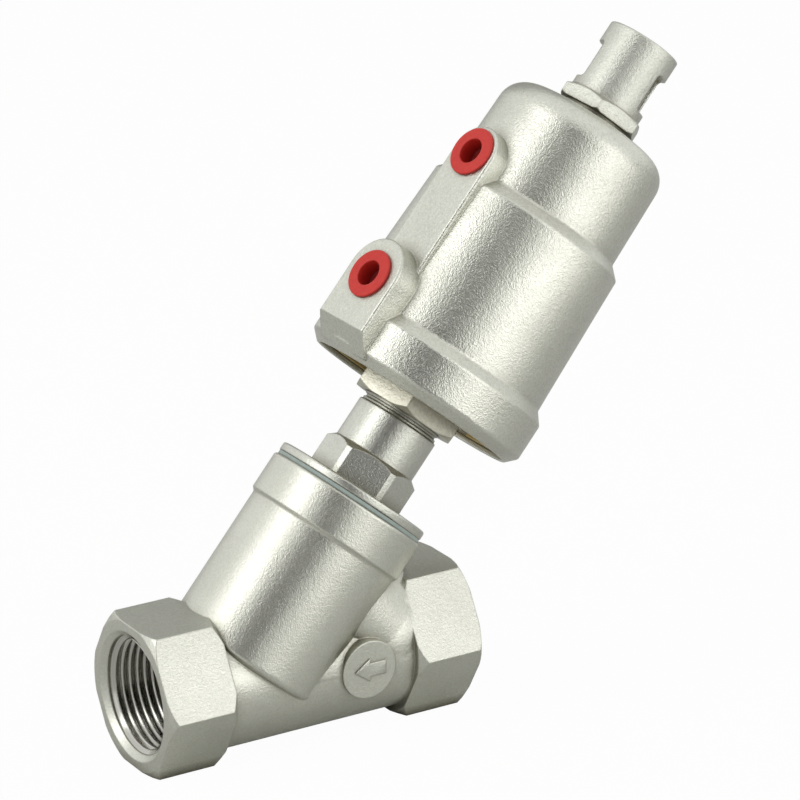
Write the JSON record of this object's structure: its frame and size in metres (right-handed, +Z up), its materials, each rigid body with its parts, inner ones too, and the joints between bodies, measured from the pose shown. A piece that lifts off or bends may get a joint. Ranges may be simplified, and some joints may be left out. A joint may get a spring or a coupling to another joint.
{
  "type": "angle seat valve",
  "caption": "Angle seat valve with a cast threaded Y body, a leaning piston actuator with stepped cast casing, and a slotted position indicator tower.",
  "frame": {"origin": "on the pipe axis at the first full thread of the outlet port, 1.6 mm inside the port face", "axes": "+X along the pipe axis from the outlet port to the inlet port, +Z up; the stem axis leans 50 degrees above +X in the XZ plane"},
  "size_m": [0.1726, 0.0668, 0.1852],
  "materials": {
    "cast_steel": "blasted stainless casting",
    "machined_steel": "turned stainless steel",
    "actuator_casting": "blasted stainless casting",
    "gasket_green": "pale grey-green sealing sheet",
    "ptfe": "white sealing plastic",
    "seal_rubber": "black rubber",
    "zinc_gold": "yellow zinc plating",
    "nut_steel": "zinc-plated steel, slightly yellow",
    "spring_steel": "spring wire",
    "aluminium": "turned aluminium",
    "red_plastic": "red moulded plastic",
    "indicator_yellow": "yellow indicator"
  },
  "bodies": {
    "valve": {"valve_body": "cast_steel", "bonnet_gasket": "gasket_green", "bonnet": "cast_steel", "lower_guide_bush": "ptfe", "packing_washer": "machined_steel", "packing_rings": "ptfe", "packing_follower": "machined_steel", "packing_spring": "spring_steel", "gland_nut": "machined_steel", "stem_o_ring": "seal_rubber", "lock_nut": "nut_steel"},
    "actuator": {"cylinder": "actuator_casting", "lower_cover": "zinc_gold", "cover_o_ring": "seal_rubber", "hub_o_ring": "seal_rubber", "cover_retaining_ring": "zinc_gold", "indicator_tower": "cast_steel", "closing_spring": "spring_steel"},
    "stem_train": {"stem": "machined_steel", "disc_seal": "ptfe", "disc_holder": "machined_steel", "disc_washer": "machined_steel", "disc_nut": "machined_steel", "piston": "aluminium", "piston_seal": "seal_rubber", "piston_guide_ring": "ptfe", "piston_washer": "machined_steel", "piston_nut": "machined_steel", "indicator_rod": "machined_steel", "indicator_cap": "indicator_yellow"},
    "upper_plug": {"upper_port_plug": "red_plastic"},
    "lower_plug": {"lower_port_plug": "red_plastic"}
  },
  "joints": [
    {"name": "actuator_turn", "type": "hinge", "parent": "valve", "child": "actuator", "pos_m": [0.0304, 0, 0], "axis": [0.6428, 0, 0.766], "continuous": true},
    {"name": "stem_lift", "type": "slide", "parent": "valve", "child": "stem_train", "axis": [0.6428, 0, 0.766], "range_m": [0, 0.012], "stiffness_N_per_m": 4000, "springref_m": -0.01, "deforming": ["closing_spring"]},
    {"name": "upper_plug_pull", "type": "slide", "parent": "actuator", "child": "upper_plug", "axis": [-0.7636, -0.0802, 0.6407], "range_m": [0, 0.012]},
    {"name": "lower_plug_pull", "type": "slide", "parent": "actuator", "child": "lower_plug", "axis": [-0.7636, -0.0802, 0.6407], "range_m": [0, 0.012]}
  ]
}
